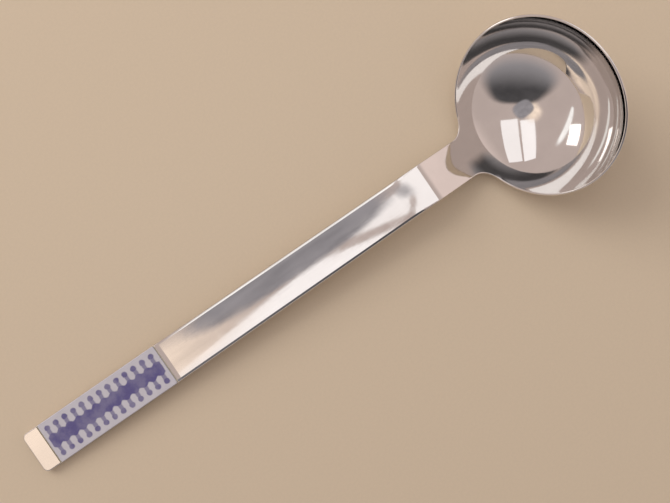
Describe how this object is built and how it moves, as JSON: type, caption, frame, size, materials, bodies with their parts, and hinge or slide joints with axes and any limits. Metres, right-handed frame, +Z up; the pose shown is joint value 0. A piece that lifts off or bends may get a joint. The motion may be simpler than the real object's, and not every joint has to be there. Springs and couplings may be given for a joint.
{
  "type": "sauce spoon",
  "caption": "Sauce spoon with a deep round bowl, a neck that leaves the bowl along its wall, a bent shoulder and a bevelled bar handle with a glazed tile let into it near its end.",
  "frame": {"origin": "under the middle of the spoon's box, on the level that it lies on", "axes": "+X from the handle's end towards the bowl's tip, +Y across the spoon, +Z up as it lies on a table"},
  "size_m": [0.1966, 0.0518, 0.0385],
  "materials": {
    "polished_steel": "polished",
    "epoxy": "satin",
    "glazed_tile": "gloss"
  },
  "bodies": {
    "root": {"spoon_body": "polished_steel", "inlay_adhesive": "epoxy", "inlay_tile": "glazed_tile"}
  },
  "joints": []
}
